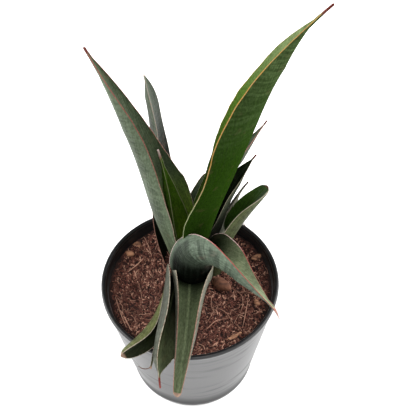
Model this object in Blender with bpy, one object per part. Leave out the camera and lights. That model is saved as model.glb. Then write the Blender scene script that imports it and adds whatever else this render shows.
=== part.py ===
"""Potted snake plant: a round plastic nursery pot, bark and fibre soil, loose chips, a short crown
and thirteen thick channelled leaves.

The origin is at the middle of the pot's base, +Z is up and -Y is the plant's front. Lengths in the
dimension tables are millimetres and angles are degrees; everything is turned into metres once, where
a mesh is made.
"""
import math

import bmesh
import bpy
from mathutils import Vector

MM = 0.001
GAP = 0.3
WELD = 0.02

# The pot, as radius and height.
POT_HEIGHT = 99.0
POT_RIM_RADIUS = 60.0
POT_BASE_RADIUS = 43.5
POT_WALL = 1.4
POT_FLOOR = 2.0
RIM_DEPTH = 3.2
RIM_WIDTH = 3.0
RIM_ROUNDING = 0.7
RIM_INNER_ROUNDING = 0.6
RIM_STEP = 0.3
LEDGE_DROP = 0.4
LEDGE_RISE = 1.0
FOOT_CHAMFER = 1.2
POT_SEGMENTS = 64
DRAIN_HOLES = 6
DRAIN_RADIUS = 4.0
DRAIN_CIRCLE = 29.0
DRAIN_SEGMENTS = 12
DRAIN_OVERCUT = 1.0

# The soil, filled to a little below the rim.
SOIL_HEIGHT = 86.0
SOIL_RINGS = 7
SOIL_SEGMENTS = 48
SOIL_SHOULDER = 2.5
SOIL_EDGE_INSET = 0.5
SOIL_BUMP = 1.0
FLAT_RADIUS = 30.0
FLAT_FADE = 12.0
SINK_RADIUS = 46.0
SINK_REACH = 10.0
SINK_DEPTH = 1.2

# The crown, a short stem set in the soil behind the pot's middle.
CROWN_X = 0.0
CROWN_Y = 17.0
CROWN_PROFILE = ((5.0, 62.0), (9.0, 66.0), (11.5, 78.0), (12.0, 88.0), (9.5, 95.0), (5.0, 98.5))
CROWN_SEGMENTS = 20

# Leaves: how finely the blades are divided, and how their thickness runs.
ARC_POINTS = 7
RING_SPACING = 9.0
MARGIN_THICKNESS = 1.0
SPINE_WIDTH = 1.3
THIN_POWER = 1.5
FULL_THICKNESS_AT = 0.45
LEAST_PLUMPNESS = 0.25
LEAST_THICKNESS = 0.6
LEAST_RINGS = 14
LEAST_CUP = 3.0

# Leaves stop a little above the soil, which this drum round the crown trims them to.
TRIM_RADIUS = 40.0
TRIM_BOTTOM = 60.0
TRIM_HEIGHT = 87.3
TRIM_SEGMENTS = 24

# One entry for each leaf, innermost first. foot is where the midrib starts. The blade starts at
# base_share of its full width, is widest at widest_at, then narrows with the power taper to
# end_share of its width where the tip spine starts. heading, rise, roll and cup are read at five
# even steps from foot to tip: the compass direction the midrib runs (0 is +X, 270 is the front),
# its slope above level, the turn of the blade about its midrib, and half the angle its channel
# curls through.
LEAVES = (
    dict(name="centre_spear_leaf", foot=(-2.0, 16.5, 83.0), length=129, width=21, midrib=3.0,
         base_share=0.79, widest_at=0.38, taper=1.36, end_share=0.0, spine=9,
         heading=(170, 169, 168, 171, 173), rise=(84, 83, 84, 84, 82),
         roll=(-12, -17, -20, -11, -4), cup=(75, 73, 72, 69, 64)),
    dict(name="arching_front_leaf", foot=(3.5, 9.5, 84.5), length=141, width=49, midrib=3.5,
         base_share=0.37, widest_at=0.38, taper=1.41, end_share=0.0, spine=14,
         heading=(288, 288, 305, 319, 353), rise=(51, 76, 46, -15, -78),
         roll=(-2, 17, -36, -46, -13), cup=(74, 85, 97, 51, 27)),
    dict(name="tall_right_leaf", foot=(9.0, 15.5, 84.5), length=278, width=56, midrib=4.5,
         base_share=0.60, widest_at=0.60, taper=1.26, end_share=0.0, spine=10,
         heading=(-13, -34, -34, -24, 0), rise=(96, 77, 75, 74, 51),
         roll=(39, 18, 21, -1, -23), cup=(64, 61, 54, 49, 28)),
    dict(name="tall_left_leaf", foot=(-5.5, 17.0, 80.0), length=237, width=48, midrib=4.5,
         base_share=0.35, widest_at=0.38, taper=0.88, end_share=0.0, spine=5,
         heading=(173, 182, 195, 210, 223), rise=(89, 78, 81, 75, 72),
         roll=(-23, -22, -20, -26, -66), cup=(70, 75, 71, 71, 66)),
    dict(name="back_right_leaf", foot=(2.0, 32.5, 82.0), length=121, width=30, midrib=3.5,
         base_share=0.79, widest_at=0.48, taper=0.89, end_share=0.0, spine=3,
         heading=(68, 52, 29, 24, 23), rise=(77, 66, 53, 53, 56),
         roll=(-6, -17, -24, -19, -17), cup=(43, 50, 53, 44, 34)),
    dict(name="back_left_leaf", foot=(-8.5, 27.0, 79.5), length=173, width=26, midrib=3.5,
         base_share=1.18, widest_at=0.61, taper=2.16, end_share=0.0, spine=1,
         heading=(130, 122, 127, 143, 152), rise=(71, 76, 89, 89, 76),
         roll=(12, 12, 28, 34, 12), cup=(38, 30, 28, 29, 30)),
    dict(name="upper_side_leaf", foot=(10.0, 28.0, 81.0), length=115, width=30, midrib=3.5,
         base_share=0.82, widest_at=0.35, taper=1.55, end_share=0.0, spine=4,
         heading=(19, 9, 5, 2, 10), rise=(75, 78, 78, 68, 58),
         roll=(-37, -28, -14, -1, 28), cup=(70, 51, 25, 26, 22)),
    dict(name="thin_side_leaf", foot=(11.0, 28.5, 79.0), length=80, width=22, midrib=3.5,
         base_share=0.88, widest_at=0.39, taper=0.70, end_share=0.0, spine=7,
         heading=(36, 29, 23, 20, 10), rise=(62, 67, 69, 71, 57),
         roll=(-64, -63, -51, -25, -3), cup=(70, 75, 73, 66, 43)),
    dict(name="blunt_side_leaf", foot=(14.0, 14.5, 84.0), length=88, width=27, midrib=3.5,
         base_share=0.68, widest_at=0.59, taper=2.14, end_share=0.35, spine=0,
         heading=(-16, 3, 29, 37, 40), rise=(82, 75, 60, 41, 26),
         roll=(-73, -71, -47, -44, -30), cup=(50, 48, 52, 54, 2)),
    dict(name="front_hanging_leaf", foot=(0.0, 7.5, 83.0), length=110, width=44, midrib=3.5,
         base_share=0.87, widest_at=0.27, taper=0.70, end_share=0.12, spine=0,
         heading=(268, 270, 266, 261, 260), rise=(70, 37, 0, -20, -27),
         roll=(-8, -10, -4, -2, 5), cup=(77, 99, 111, 96, 68)),
    dict(name="front_left_leaf", foot=(-8.0, 6.5, 87.5), length=101, width=32, midrib=3.5,
         base_share=0.85, widest_at=0.58, taper=2.13, end_share=0.0, spine=8,
         heading=(265, 263, 261, 259, 281), rise=(61, 34, 2, -16, -22),
         roll=(-19, -39, -56, -60, -58), cup=(59, 67, 74, 60, 29)),
    dict(name="sliver_leaf", foot=(-7.0, 10.0, 84.0), length=87, width=13, midrib=2.6,
         base_share=0.76, widest_at=0.31, taper=1.63, end_share=0.0, spine=2,
         heading=(269, 263, 257, 248, 258), rise=(47, 29, 11, -5, -22),
         roll=(-18, -17, -24, -31, -18), cup=(59, 57, 56, 54, 43)),
    dict(name="low_left_leaf", foot=(-10.5, 11.0, 88.5), length=87, width=19, midrib=3.5,
         base_share=0.69, widest_at=0.70, taper=2.26, end_share=0.2, spine=0,
         heading=(269, 263, 248, 232, 208), rise=(33, 20, 14, 2, -16),
         roll=(-8, -27, -49, -79, -66), cup=(44, 50, 59, 78, 60)),
)

# Loose chips: centre, half sizes along their own axes, turn about +Z, tilt, and colour.
CHIP_CORNERS = 7
CHIP_LEVELS = ((-1.0, 0.75), (0.0, 1.0), (1.0, 0.7))
CHIP_UNEVENNESS = 0.12
CHIP_CORNER_STEP = 2.3
CHIP_LIFT = 0.35
BARK_BROWN = (0.20, 0.085, 0.045)
BARK_TAN = (0.42, 0.21, 0.10)
STRAW = (0.55, 0.36, 0.20)
CHIPS = (
    dict(name="bark_chip_large", at=(21.0, 4.5), half=(8.0, 4.5, 2.4), turn=-38, tilt=12, colour=BARK_BROWN),
    dict(name="bark_chip_round", at=(-37.5, 37.0), half=(3.0, 2.8, 1.6), turn=20, tilt=8, colour=BARK_TAN),
    dict(name="bark_chip_left", at=(-42.5, 29.0), half=(3.4, 2.2, 1.5), turn=-15, tilt=6, colour=BARK_TAN),
    dict(name="bark_chip_right", at=(46.0, 24.0), half=(4.0, 2.2, 1.5), turn=35, tilt=-8, colour=BARK_TAN),
    dict(name="bark_chip_front", at=(45.0, -12.0), half=(3.2, 2.0, 1.5), turn=-60, tilt=7, colour=BARK_TAN),
    dict(name="straw_sliver", at=(28.5, -38.5), half=(6.5, 1.2, 1.1), turn=28, tilt=3, colour=STRAW),
)


def clear_scene():
    for obj in list(bpy.data.objects):
        bpy.data.objects.remove(obj, do_unlink=True)


def make_material(name, colour, roughness, metallic=0.0):
    material = bpy.data.materials.new(name)
    material.use_nodes = True
    shader = material.node_tree.nodes["Principled BSDF"]
    shader.inputs["Base Color"].default_value = (*colour, 1.0)
    shader.inputs["Roughness"].default_value = roughness
    shader.inputs["Metallic"].default_value = metallic
    material.diffuse_color = (*colour, 1.0)
    return material


def link_mesh(name, bm, material=None, smooth=True):
    """Turn millimetre geometry into a named object in metres."""
    bmesh.ops.recalc_face_normals(bm, faces=bm.faces)
    bmesh.ops.scale(bm, vec=(MM, MM, MM), verts=bm.verts)
    mesh = bpy.data.meshes.new(name)
    bm.to_mesh(mesh)
    bm.free()
    for polygon in mesh.polygons:
        polygon.use_smooth = smooth
    obj = bpy.data.objects.new(name, mesh)
    bpy.context.scene.collection.objects.link(obj)
    if material is not None:
        mesh.materials.append(material)
    return obj


def bridge_rings(bm, rings, closed_ends=True):
    """Skin a list of vertex rings, and cap both ends."""
    count = len(rings[0])
    for lower, upper in zip(rings, rings[1:]):
        for i in range(count):
            j = (i + 1) % count
            bm.faces.new((lower[i], lower[j], upper[j], upper[i]))
    if closed_ends:
        bm.faces.new(list(reversed(rings[0])))
        bm.faces.new(rings[-1])


def lathe(bm, profile, segments, centre=(0.0, 0.0)):
    """Turn an open profile of (radius, height) points, and cap its two ends."""
    rings = []
    for radius, height in profile:
        ring = []
        for i in range(segments):
            angle = math.tau * i / segments
            x = centre[0] + radius * math.cos(angle)
            y = centre[1] + radius * math.sin(angle)
            ring.append(bm.verts.new((x, y, height)))
        rings.append(ring)
    bridge_rings(bm, rings)


def island_volume(faces):
    total = 0.0
    for face in faces:
        corners = [vert.co for vert in face.verts]
        for i in range(1, len(corners) - 1):
            total += corners[0].dot(corners[i].cross(corners[i + 1])) / 6.0
    return abs(total)


def keep_largest_body(bm):
    """Drop the small offcuts a cut can leave beside the main body."""
    unseen = set(bm.faces)
    islands = []
    while unseen:
        stack = [unseen.pop()]
        island = list(stack)
        while stack:
            face = stack.pop()
            for edge in face.edges:
                for other in edge.link_faces:
                    if other in unseen:
                        unseen.discard(other)
                        stack.append(other)
                        island.append(other)
        islands.append(island)
    islands.sort(key=island_volume)
    for island in islands[:-1]:
        bmesh.ops.delete(bm, geom=island, context="FACES")


def subtract(target, cutters):
    """Cut every cutter out of the target, tidy the result and remove the cutters."""
    for cutter in cutters:
        cutter.hide_render = True
        cutter.display_type = "WIRE"
        modifier = target.modifiers.new("cut", "BOOLEAN")
        modifier.operation = "DIFFERENCE"
        modifier.solver = "EXACT"
        modifier.object = cutter
        depsgraph = bpy.context.evaluated_depsgraph_get()
        mesh = bpy.data.meshes.new_from_object(target.evaluated_get(depsgraph))
        target.modifiers.clear()
        bm = bmesh.new()
        bm.from_mesh(mesh)
        bpy.data.meshes.remove(mesh)
        bmesh.ops.remove_doubles(bm, verts=bm.verts, dist=WELD * MM)
        bmesh.ops.dissolve_degenerate(bm, edges=bm.edges, dist=WELD * MM)
        keep_largest_body(bm)
        bm.to_mesh(target.data)
        bm.free()
        bpy.data.objects.remove(cutter, do_unlink=True)


# ---------------------------------------------------------------- pot and soil

def wall_radius(height):
    """Radius of the pot's outer wall at a height."""
    return POT_BASE_RADIUS + (POT_RIM_RADIUS - POT_BASE_RADIUS) * height / POT_HEIGHT


def build_pot(material):
    under_rim = POT_HEIGHT - RIM_DEPTH
    lip = POT_RIM_RADIUS - RIM_WIDTH
    profile = (
        (POT_BASE_RADIUS - FOOT_CHAMFER, 0.0),
        (POT_BASE_RADIUS, FOOT_CHAMFER),
        (wall_radius(under_rim) - RIM_STEP, under_rim),
        (POT_RIM_RADIUS, under_rim + RIM_INNER_ROUNDING),
        (POT_RIM_RADIUS, POT_HEIGHT - RIM_ROUNDING),
        (POT_RIM_RADIUS - RIM_ROUNDING, POT_HEIGHT),
        (lip + RIM_INNER_ROUNDING, POT_HEIGHT),
        (lip, POT_HEIGHT - RIM_INNER_ROUNDING),
        (lip, under_rim + LEDGE_RISE),
        (wall_radius(under_rim) - RIM_STEP - POT_WALL, under_rim - LEDGE_DROP),
        (POT_BASE_RADIUS + RIM_STEP - POT_WALL, POT_FLOOR),
    )
    bm = bmesh.new()
    lathe(bm, profile, POT_SEGMENTS)
    pot = link_mesh("nursery_pot", bm, material)
    holes = []
    for i in range(DRAIN_HOLES):
        angle = math.tau * (i + 0.5) / DRAIN_HOLES
        centre = (DRAIN_CIRCLE * math.cos(angle), DRAIN_CIRCLE * math.sin(angle))
        hole = bmesh.new()
        sides = ((DRAIN_RADIUS, -DRAIN_OVERCUT), (DRAIN_RADIUS, POT_FLOOR + DRAIN_OVERCUT))
        lathe(hole, sides, DRAIN_SEGMENTS, centre)
        holes.append(link_mesh("drain_cutter", hole))
    subtract(pot, holes)
    return pot


def soil_bump(x, y):
    """Gentle lumps that die out round the crown and sink a little at the pot's wall."""
    reach = math.hypot(x - CROWN_X, y - CROWN_Y)
    grow = min(1.0, max(0.0, (reach - FLAT_RADIUS) / FLAT_FADE))
    lumps = math.sin(0.31 * x + 0.8) * math.cos(0.27 * y) + 0.6 * math.sin(0.53 * y - 0.41 * x)
    edge = max(0.0, math.hypot(x, y) - SINK_RADIUS) / SINK_REACH
    return grow * SOIL_BUMP * (0.8 * lumps - 0.4) - SINK_DEPTH * edge * edge


def build_soil(material):
    top_radius = wall_radius(SOIL_HEIGHT) - POT_WALL - RIM_STEP - GAP
    bottom_radius = wall_radius(POT_FLOOR) - POT_WALL - RIM_STEP - GAP
    bm = bmesh.new()
    rings = []
    sides = ((bottom_radius, POT_FLOOR + GAP), (top_radius - RIM_STEP, SOIL_HEIGHT - SOIL_SHOULDER))
    for radius, height in sides:
        ring = []
        for i in range(SOIL_SEGMENTS):
            angle = math.tau * i / SOIL_SEGMENTS
            ring.append(bm.verts.new((radius * math.cos(angle), radius * math.sin(angle), height)))
        rings.append(ring)
    for k in range(SOIL_RINGS):
        radius = (top_radius - SOIL_EDGE_INSET) * (1.0 - k / SOIL_RINGS)
        ring = []
        for i in range(SOIL_SEGMENTS):
            angle = math.tau * i / SOIL_SEGMENTS
            x = radius * math.cos(angle)
            y = radius * math.sin(angle)
            ring.append(bm.verts.new((x, y, SOIL_HEIGHT + soil_bump(x, y))))
        rings.append(ring)
    bridge_rings(bm, rings)
    return link_mesh("potting_soil", bm, material)


def crown_mesh(grow):
    """The crown's skin, or its clearance when grow is the gap to leave round it."""
    bm = bmesh.new()
    profile = []
    last = len(CROWN_PROFILE) - 1
    for i, (radius, height) in enumerate(CROWN_PROFILE):
        shift = grow if i == last else -grow if i == 0 else 0.0
        profile.append((radius + grow, height + shift))
    lathe(bm, profile, CROWN_SEGMENTS, (CROWN_X, CROWN_Y))
    return bm


def chip_mesh(chip, grow):
    """A flat bark chip with uneven corners, or its clearance."""
    bm = bmesh.new()
    a, b, c = (size + grow for size in chip["half"])
    seed = chip["at"][0]
    rings = []
    for level, share in CHIP_LEVELS:
        ring = []
        for i in range(CHIP_CORNERS):
            angle = math.tau * i / CHIP_CORNERS
            reach = share * (1.0 + CHIP_UNEVENNESS * math.sin(CHIP_CORNER_STEP * i + seed))
            ring.append(bm.verts.new((a * reach * math.cos(angle), b * reach * math.sin(angle), c * level)))
        rings.append(ring)
    bridge_rings(bm, rings)
    turn = math.radians(chip["turn"])
    tilt = math.radians(chip["tilt"])
    x, y = chip["at"]
    height = SOIL_HEIGHT + soil_bump(x, y) + CHIP_LIFT * chip["half"][2]
    for vert in bm.verts:
        px, py, pz = vert.co
        px, pz = px * math.cos(tilt) - pz * math.sin(tilt), px * math.sin(tilt) + pz * math.cos(tilt)
        px, py = px * math.cos(turn) - py * math.sin(turn), px * math.sin(turn) + py * math.cos(turn)
        vert.co = (px + x, py + y, pz + height)
    return bm


# ---------------------------------------------------------------- leaves

def blend(values, s):
    """Smooth curve through evenly spaced values, read at s from 0 to 1."""
    last = len(values) - 1
    place = min(s * last, last - 1e-9)
    i = int(place)
    t = place - i
    v1 = values[i]
    v2 = values[i + 1]
    v0 = values[i - 1] if i > 0 else 2 * v1 - v2
    v3 = values[i + 2] if i + 2 <= last else 2 * v2 - v1
    square = (2 * v0 - 5 * v1 + 4 * v2 - v3) * t * t
    cube = (3 * v1 - v0 - 3 * v2 + v3) * t * t * t
    return 0.5 * (2 * v1 + (v2 - v0) * t + square + cube)


def blade_width(leaf, s):
    widest = leaf["widest_at"]
    if s < widest:
        share = leaf["base_share"] + (1 - leaf["base_share"]) * math.sin(0.5 * math.pi * s / widest)
    else:
        blade_end = 1 - leaf["spine"] / leaf["length"]
        along = min(1.0, (s - widest) / (blade_end - widest))
        share = leaf["end_share"] + (1 - leaf["end_share"]) * (1 - along ** leaf["taper"])
    return max(leaf["width"] * share, SPINE_WIDTH)


def blade_frame(leaf, s):
    """Directions along the midrib, across the blade and out of its channel."""
    heading = math.radians(blend(leaf["heading"], s))
    rise = math.radians(blend(leaf["rise"], s))
    roll = math.radians(blend(leaf["roll"], s))
    level = Vector((math.cos(heading), math.sin(heading), 0.0))
    along = level * math.cos(rise) + Vector((0.0, 0.0, math.sin(rise)))
    up = Vector((0.0, 0.0, math.cos(rise))) - level * math.sin(rise)
    side = Vector((math.sin(heading), -math.cos(heading), 0.0))
    face = up * math.cos(roll) + side * math.sin(roll)
    across = side * math.cos(roll) - up * math.sin(roll)
    return along, across, face


def midrib_path(leaf, steps):
    """Walk up the midrib in even steps from the foot."""
    point = Vector(leaf["foot"])
    path = [point.copy()]
    stride = leaf["length"] / steps
    for i in range(steps):
        start = blade_frame(leaf, i / steps)[0]
        end = blade_frame(leaf, (i + 1) / steps)[0]
        point = point + (start + end) * 0.5 * stride
        path.append(point.copy())
    return path


def leaf_mesh(leaf, grow=0.0):
    """A solid channelled blade, or its clearance when grow is the gap to leave round it."""
    steps = max(LEAST_RINGS, round(leaf["length"] / RING_SPACING))
    path = midrib_path(leaf, steps)
    bm = bmesh.new()
    rings = []
    for i, centre in enumerate(path):
        s = i / steps
        along, across, face = blade_frame(leaf, s)
        if i == 0:
            centre = centre - along * grow
        if i == steps:
            centre = centre + along * grow
        width = blade_width(leaf, s)
        cup = math.radians(max(blend(leaf["cup"], s), LEAST_CUP))
        radius = 0.5 * width / cup
        reach = cup + grow / radius
        plump = max(LEAST_PLUMPNESS, min(1.0, width / (FULL_THICKNESS_AT * leaf["width"])))
        inside = []
        outside = []
        for k in range(ARC_POINTS):
            q = 2.0 * k / (ARC_POINTS - 1) - 1.0
            angle = reach * q
            spot = centre + across * (radius * math.sin(angle)) + face * (radius * (1 - math.cos(angle)))
            out = face * math.cos(angle) - across * math.sin(angle)
            bulge = (leaf["midrib"] - MARGIN_THICKNESS) * (1 - abs(q) ** THIN_POWER)
            thick = max(LEAST_THICKNESS, (MARGIN_THICKNESS + bulge) * plump)
            inside.append(bm.verts.new(spot + out * grow))
            outside.append(bm.verts.new(spot - out * (thick + grow)))
        rings.append(inside + outside[::-1])
    bridge_rings(bm, rings)
    bmesh.ops.triangulate(bm, faces=bm.faces)
    return bm


def boxes_meet(first, second):
    for axis in range(3):
        low_a = min(vert.co[axis] for vert in first.data.vertices)
        high_a = max(vert.co[axis] for vert in first.data.vertices)
        low_b = min(vert.co[axis] for vert in second.data.vertices)
        high_b = max(vert.co[axis] for vert in second.data.vertices)
        if low_a > high_b or low_b > high_a:
            return False
    return True


def build_leaves(material_for):
    """Each leaf gives way to the crown, the soil and the leaves nearer the middle."""
    built = []
    for order, leaf in enumerate(LEAVES):
        obj = link_mesh(leaf["name"], leaf_mesh(leaf), material_for(leaf["name"]))
        cutters = [link_mesh("crown_clearance", crown_mesh(GAP))]
        trim = bmesh.new()
        drum = ((TRIM_RADIUS, TRIM_BOTTOM), (TRIM_RADIUS, TRIM_HEIGHT))
        lathe(trim, drum, TRIM_SEGMENTS, (CROWN_X, CROWN_Y))
        cutters.append(link_mesh("soil_clearance", trim))
        for inner in LEAVES[:order]:
            clearance = link_mesh("leaf_clearance", leaf_mesh(inner, GAP))
            if boxes_meet(obj, clearance):
                cutters.append(clearance)
            else:
                bpy.data.objects.remove(clearance, do_unlink=True)
        subtract(obj, cutters)
        for polygon in obj.data.polygons:
            polygon.use_smooth = True
        built.append(obj)
    return built


POT_GREY = (0.38, 0.38, 0.39)
SOIL_BROWN = (0.14, 0.055, 0.035)
CROWN_GREEN = (0.16, 0.17, 0.06)
LEAF_GREY_GREEN = (0.075, 0.125, 0.070)
LEAF_MID_GREEN = (0.060, 0.135, 0.035)
LEAF_YOUNG_GREEN = (0.120, 0.220, 0.030)
LEAF_DARK_GREEN = (0.035, 0.075, 0.035)
LEAF_COLOURS = {
    "centre_spear_leaf": LEAF_YOUNG_GREEN,
    "tall_right_leaf": LEAF_MID_GREEN,
    "back_left_leaf": LEAF_DARK_GREEN,
    "back_right_leaf": LEAF_DARK_GREEN,
    "upper_side_leaf": LEAF_DARK_GREEN,
}


def leaf_material(name):
    return make_material(name, LEAF_COLOURS.get(name, LEAF_GREY_GREEN), 0.5)


def main():
    clear_scene()
    build_pot(make_material("nursery_pot", POT_GREY, 0.4))
    soil = build_soil(make_material("potting_soil", SOIL_BROWN, 0.95))
    sockets = [link_mesh("crown_socket", crown_mesh(GAP))]
    for chip in CHIPS:
        bark = make_material(chip["name"], chip["colour"], 0.85)
        link_mesh(chip["name"], chip_mesh(chip, 0.0), bark, False)
        sockets.append(link_mesh("chip_socket", chip_mesh(chip, GAP)))
    subtract(soil, sockets)
    link_mesh("plant_crown", crown_mesh(0.0), make_material("plant_crown", CROWN_GREEN, 0.6))
    build_leaves(leaf_material)


main()
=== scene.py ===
import math
import random

import bmesh
import bpy
import numpy as np
from mathutils import Euler, Matrix, Vector, noise


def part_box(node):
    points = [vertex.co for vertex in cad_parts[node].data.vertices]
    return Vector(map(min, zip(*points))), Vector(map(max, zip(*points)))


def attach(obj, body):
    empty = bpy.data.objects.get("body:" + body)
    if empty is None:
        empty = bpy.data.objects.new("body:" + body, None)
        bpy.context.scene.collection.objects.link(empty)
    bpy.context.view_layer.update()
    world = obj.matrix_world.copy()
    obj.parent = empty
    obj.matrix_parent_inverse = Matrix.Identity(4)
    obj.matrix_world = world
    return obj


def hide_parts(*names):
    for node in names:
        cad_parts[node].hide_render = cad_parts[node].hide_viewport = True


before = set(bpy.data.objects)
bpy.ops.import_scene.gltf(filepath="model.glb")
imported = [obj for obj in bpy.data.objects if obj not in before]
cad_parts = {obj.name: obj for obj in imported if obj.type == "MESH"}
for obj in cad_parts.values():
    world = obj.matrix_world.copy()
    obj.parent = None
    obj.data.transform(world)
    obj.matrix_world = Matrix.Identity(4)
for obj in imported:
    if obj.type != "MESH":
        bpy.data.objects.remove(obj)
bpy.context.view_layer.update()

MM = 0.001

# ------------------------------------------------------------------ sizes shared with the solid plant

SOIL_HEIGHT = 86.0
CROWN_X = 0.0
CROWN_Y = 17.0

# ------------------------------------------------------------------ mesh helpers


def add_piece(name, verts, faces, material, replaces=(), values=None, domain="POINT"):
    """A mesh in millimetres becomes a named piece that rides on the plant's one body."""
    mesh = bpy.data.meshes.new(name)
    mesh.from_pydata((np.asarray(verts, float) * MM).tolist(), [], [tuple(f) for f in faces])
    bm = bmesh.new()
    bm.from_mesh(mesh)
    bmesh.ops.recalc_face_normals(bm, faces=bm.faces)
    bm.to_mesh(mesh)
    bm.free()
    corners = np.zeros(len(mesh.loops), int)
    mesh.loops.foreach_get("vertex_index", corners)
    for key, data in (values or {}).items():
        layer = mesh.attributes.new(key, "FLOAT", domain)
        data = np.asarray(data, np.float32)
        layer.data.foreach_set("value", data[corners] if domain == "CORNER" else data)
    mesh.polygons.foreach_set("use_smooth", [True] * len(mesh.polygons))
    mesh.materials.append(material)
    piece = bpy.data.objects.new(name, mesh)
    bpy.context.scene.collection.objects.link(piece)
    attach(piece, "root")
    if replaces:
        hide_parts(*replaces)
    return piece


def ring_faces(rings, count, first=0):
    """Quads that skin a stack of closed rings of equal length."""
    faces = []
    for i in range(rings - 1):
        for j in range(count):
            k = (j + 1) % count
            a = first + i * count
            b = a + count
            faces.append((a + j, a + k, b + k, b + j))
    return faces


# ------------------------------------------------------------------ shader helpers


class Board:
    """A node tree with short calls for adding and wiring nodes."""

    def __init__(self, tree):
        self.tree = tree
        self.nodes = tree.nodes

    def add(self, kind, **settings):
        node = self.nodes.new(kind)
        for key, value in settings.items():
            setattr(node, key, value)
        return node

    def wire(self, source, target):
        self.tree.links.new(source, target)

    def feed(self, socket, value):
        if isinstance(value, bpy.types.NodeSocket):
            self.wire(value, socket)
        elif isinstance(value, tuple) and len(value) == 3 and socket.type == "RGBA":
            socket.default_value = (*value, 1.0)
        else:
            socket.default_value = value

    def value(self, name):
        return self.add("ShaderNodeAttribute", attribute_name=name).outputs["Fac"]

    def maths(self, operation, a, b=0.0, clamp=False):
        node = self.add("ShaderNodeMath", operation=operation, use_clamp=clamp)
        self.feed(node.inputs[0], a)
        self.feed(node.inputs[1], b)
        return node.outputs[0]

    def blend(self, mask, a, b, mode="MIX"):
        node = self.add("ShaderNodeMix", data_type="RGBA", blend_type=mode, clamp_factor=True)
        self.feed(node.inputs[0], mask)
        self.feed(node.inputs[6], a)
        self.feed(node.inputs[7], b)
        return node.outputs[2]

    def spread(self, value, low, high, out_low=0.0, out_high=1.0):
        node = self.add("ShaderNodeMapRange", interpolation_type="SMOOTHSTEP")
        for socket, item in zip(node.inputs, (value, low, high, out_low, out_high)):
            self.feed(socket, item)
        return node.outputs[0]

    def vector(self, x, y, z=0.0):
        node = self.add("ShaderNodeCombineXYZ")
        for socket, item in zip(node.inputs, (x, y, z)):
            self.feed(socket, item)
        return node.outputs[0]

    def cloud(self, where, scale, detail=3.0, rough=0.55):
        node = self.add("ShaderNodeTexNoise")
        self.feed(node.inputs["Vector"], where)
        node.inputs["Scale"].default_value = scale
        node.inputs["Detail"].default_value = detail
        node.inputs["Roughness"].default_value = rough
        return node.outputs[0]

    def bump(self, height, strength, distance):
        node = self.add("ShaderNodeBump")
        node.inputs["Strength"].default_value = strength
        node.inputs["Distance"].default_value = distance
        self.feed(node.inputs["Height"], height)
        return node.outputs[0]

    def place(self, group, **inputs):
        node = self.add("ShaderNodeGroup")
        node.node_tree = group
        for key, item in inputs.items():
            self.feed(node.inputs[key.replace("_", " ")], item)
        return node


def new_group(name, inputs, outputs):
    """A shader node group with float inputs (with starting values) and float outputs."""
    tree = bpy.data.node_groups.new(name, "ShaderNodeTree")
    for label, start in inputs:
        socket = tree.interface.new_socket(label, in_out="INPUT", socket_type="NodeSocketFloat")
        socket.default_value = start
    for label in outputs:
        tree.interface.new_socket(label, in_out="OUTPUT", socket_type="NodeSocketFloat")
    board = Board(tree)
    return board, board.add("NodeGroupInput"), board.add("NodeGroupOutput")


def new_material(name, roughness=0.5, specular=0.5):
    material = bpy.data.materials.new(name)
    material.use_nodes = True
    board = Board(material.node_tree)
    shader = board.nodes["Principled BSDF"]
    shader.inputs["Roughness"].default_value = roughness
    shader.inputs["Specular IOR Level"].default_value = specular
    return material, board, shader


def blade_grain_group():
    """Cross bands, lengthwise ribs and mottling of a leaf, from its across and along lengths in mm."""
    inputs = (("Across", 0.0), ("Along", 0.0), ("Leaf", 0.0))
    outputs = ("Bands", "Ribs", "Mottle", "Patch", "Fine", "Fleck", "Fray")
    board, given, result = new_group("blade grain", inputs, outputs)
    across = given.outputs["Across"]
    along = given.outputs["Along"]
    leaf = given.outputs["Leaf"]

    def pattern(run, across_scale, run_scale, detail):
        """Noise drawn out across or along the blade by its two scales."""
        wide = board.maths("MULTIPLY", across, across_scale)
        deep = board.maths("MULTIPLY", run, run_scale)
        return board.cloud(board.vector(wide, deep, leaf), 1.0, detail)

    bent = board.maths("ADD", along, board.maths("MULTIPLY", pattern(along, 0.05, 0.05, 2.0), 9.0))
    side = board.maths("SIGN", across)
    fray = board.cloud(board.vector(side, board.maths("MULTIPLY", along, 0.9), leaf), 1.0, 3.0)
    fleck = board.cloud(board.vector(across, along, leaf), 1.1, 2.0)
    masks = (
        ("Patch", pattern(bent, 0.05, 0.045, 2.0), 0.4, 0.6),
        ("Fine", pattern(along, 1.1, 0.45, 3.0), 0.36, 0.64),
        ("Bands", pattern(bent, 0.06, 0.42, 3.0), 0.35, 0.65),
        ("Ribs", pattern(along, 1.5, 0.018, 3.0), 0.3, 0.7),
        ("Mottle", pattern(along, 0.16, 0.10, 4.0), 0.3, 0.7),
        ("Fleck", fleck, 0.66, 0.8),
        ("Fray", fray, 0.42, 0.6),
    )
    for label, source, low, high in masks:
        board.wire(board.spread(source, low, high), result.inputs[label])
    return board.tree


def dust_group():
    """Patchy dust or scuffs over a surface, from a place on it and the size of the patches."""
    tree = bpy.data.node_groups.new("patchy dust", "ShaderNodeTree")
    tree.interface.new_socket("Where", in_out="INPUT", socket_type="NodeSocketVector")
    tree.interface.new_socket("Scale", in_out="INPUT", socket_type="NodeSocketFloat")
    tree.interface.new_socket("Dust", in_out="OUTPUT", socket_type="NodeSocketFloat")
    board = Board(tree)
    given = board.add("NodeGroupInput")
    result = board.add("NodeGroupOutput")
    cloud = board.add("ShaderNodeTexNoise")
    board.wire(given.outputs["Where"], cloud.inputs["Vector"])
    board.wire(given.outputs["Scale"], cloud.inputs["Scale"])
    cloud.inputs["Detail"].default_value = 6.0
    board.wire(board.spread(cloud.outputs[0], 0.5, 0.75), result.inputs["Dust"])
    return tree


BLADE_GRAIN = blade_grain_group()
PATCHY_DUST = dust_group()

# ------------------------------------------------------------------ leaf shapes

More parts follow.
